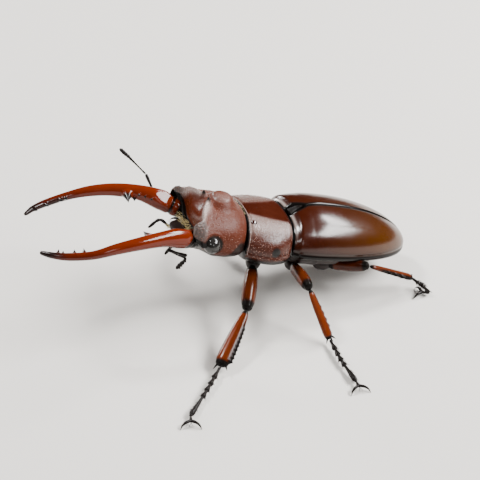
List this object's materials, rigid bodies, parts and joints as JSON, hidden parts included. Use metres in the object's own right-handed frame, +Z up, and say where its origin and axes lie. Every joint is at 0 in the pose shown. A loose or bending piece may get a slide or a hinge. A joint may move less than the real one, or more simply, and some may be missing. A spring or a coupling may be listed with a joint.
{
  "type": "stag beetle",
  "caption": "Life-size still model of a male stag beetle, standing on its legs, with long curved toothed jaws, a broad head, a shield-like pronotum and smooth domed wing cases.",
  "frame": {"origin": "the middle of the model's box in plan, on the floor that the claws stand on", "axes": "+Z up from the floor, -Y the way that the head and jaws point, +X the beetle's left side"},
  "size_m": [0.0636, 0.0788, 0.0281],
  "materials": {
    "head_shell": "fine granular matte",
    "pronotum_shell": "fine granular satin",
    "wing_case": "smooth gloss",
    "jaw": "smooth high gloss",
    "leg_shell": "gloss",
    "dark_shell": "gloss black",
    "underside_shell": "satin dark brown",
    "eye": "polished black"
  },
  "bodies": {
    "root": {"head": "head_shell", "pronotum": "pronotum_shell", "elytron_left": "wing_case", "elytron_right": "wing_case", "mandible_left": "jaw", "mandible_right": "jaw", "scutellum": "dark_shell", "labrum": "underside_shell", "thorax": "underside_shell", "abdomen": "underside_shell", "eye_left": "eye", "eye_right": "eye", "scape_left": "dark_shell", "scape_right": "dark_shell", "feeler_left": "dark_shell", "feeler_right": "dark_shell", "palp_left": "dark_shell", "palp_right": "dark_shell", "coxa_fore_left": "underside_shell", "femur_fore_left": "leg_shell", "tibia_fore_left": "leg_shell", "tarsus_fore_left": "dark_shell", "claws_fore_left": "dark_shell", "coxa_fore_right": "underside_shell", "femur_fore_right": "leg_shell", "tibia_fore_right": "leg_shell", "tarsus_fore_right": "dark_shell", "claws_fore_right": "dark_shell", "coxa_mid_left": "underside_shell", "femur_mid_left": "leg_shell", "tibia_mid_left": "leg_shell", "tarsus_mid_left": "dark_shell", "claws_mid_left": "dark_shell", "coxa_mid_right": "underside_shell", "femur_mid_right": "leg_shell", "tibia_mid_right": "leg_shell", "tarsus_mid_right": "dark_shell", "claws_mid_right": "dark_shell", "coxa_hind_left": "underside_shell", "femur_hind_left": "leg_shell", "tibia_hind_left": "leg_shell", "tarsus_hind_left": "dark_shell", "claws_hind_left": "dark_shell", "coxa_hind_right": "underside_shell", "femur_hind_right": "leg_shell", "tibia_hind_right": "leg_shell", "tarsus_hind_right": "dark_shell", "claws_hind_right": "dark_shell"}
  },
  "joints": []
}
